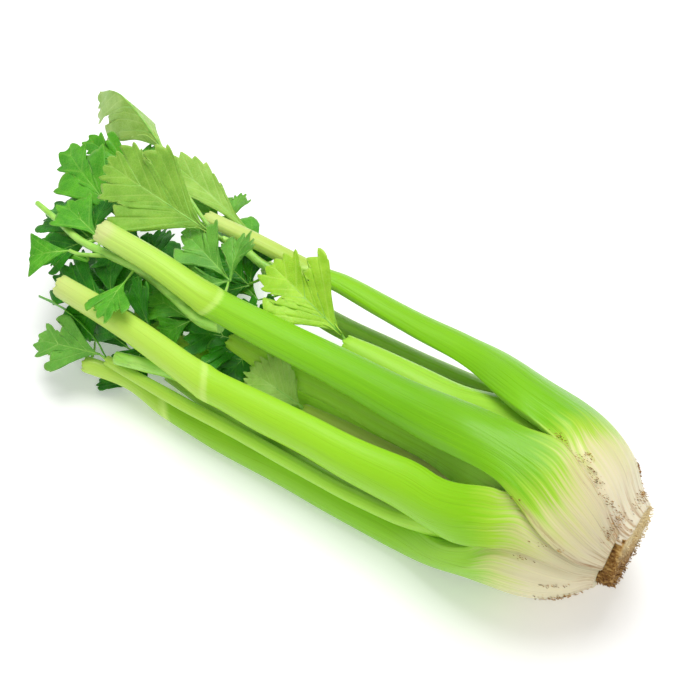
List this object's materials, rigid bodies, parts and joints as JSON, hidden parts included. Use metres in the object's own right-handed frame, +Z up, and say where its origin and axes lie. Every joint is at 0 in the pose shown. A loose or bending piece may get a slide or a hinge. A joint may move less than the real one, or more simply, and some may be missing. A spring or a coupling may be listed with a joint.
{
  "type": "head of celery",
  "caption": "Head of celery lying on its side: ribbed green stalks wrapped round a pale trimmed root base, with side stems and toothed leaflets at the far end.",
  "frame": {"origin": "middle of the bottom of the whole bunch's box, on the surface it lies on", "axes": "+X along the bunch from the leaves to the cut root end, +Y to the far side, +Z up"},
  "size_m": [0.4098, 0.1618, 0.1072],
  "materials": {
    "root_plate": "rough, fibrous, dry brown",
    "outer_stalk": "glossy, ribbed, green fading to cream at the base",
    "inner_stalk": "glossy, ribbed, pale yellow green",
    "side_stem": "glossy, smooth, light green",
    "leaf_dark": "satin, veined, deep green",
    "leaf_light": "satin, veined, pale yellow green"
  },
  "bodies": {
    "root": {"crown": "root_plate", "stalk_top": "outer_stalk", "stalk_far": "outer_stalk", "stalk_near_upper": "outer_stalk", "stalk_near_lower": "outer_stalk", "stalk_under": "outer_stalk", "stalk_far_under": "outer_stalk", "stalk_far_lower": "outer_stalk", "inner_stalk_middle": "inner_stalk", "inner_stalk_far": "inner_stalk", "inner_stalk_near": "inner_stalk", "inner_stalk_low": "inner_stalk", "heart_stalk_near": "inner_stalk", "heart_stalk_far": "inner_stalk", "side_stem_top": "side_stem", "side_stem_near": "side_stem", "side_stem_far": "side_stem", "leaf_stem_high": "side_stem", "leaf_stem_fan": "side_stem", "side_stem_low": "side_stem", "leaf_stem_under": "side_stem", "leaf_stem_back": "side_stem", "leaf_crest": "leaf_light", "leaf_broad": "leaf_light", "leaf_far_arching": "leaf_light", "leaf_far_shaded": "leaf_dark", "leaf_slim_tips": "leaf_dark", "leaf_fingered": "leaf_dark", "leaf_wedge": "leaf_dark", "leaf_behind_stem": "leaf_dark", "leaf_thin_wedge": "leaf_dark", "leaf_fan": "leaf_light", "leaf_shaded_middle": "leaf_dark", "leaf_shaded_near": "leaf_dark", "leaf_cut_end": "leaf_dark", "leaf_over_stem": "leaf_dark", "leaf_inner_high": "leaf_dark", "leaf_inner_bright": "leaf_light", "leaf_dark_broad": "leaf_dark", "leaf_top_node": "leaf_light", "leaf_far_node": "leaf_dark", "leaf_far_small": "leaf_dark", "leaf_bright": "leaf_light", "leaf_heart": "leaf_light", "leaf_edge_on": "leaf_dark", "leaf_left": "leaf_light", "leaf_near_back": "leaf_dark", "leaf_near_small": "leaf_dark", "leaf_low": "leaf_dark", "leaf_back_far": "leaf_dark", "leaf_back_low": "leaf_dark", "leaf_under": "leaf_dark"}
  },
  "joints": []
}
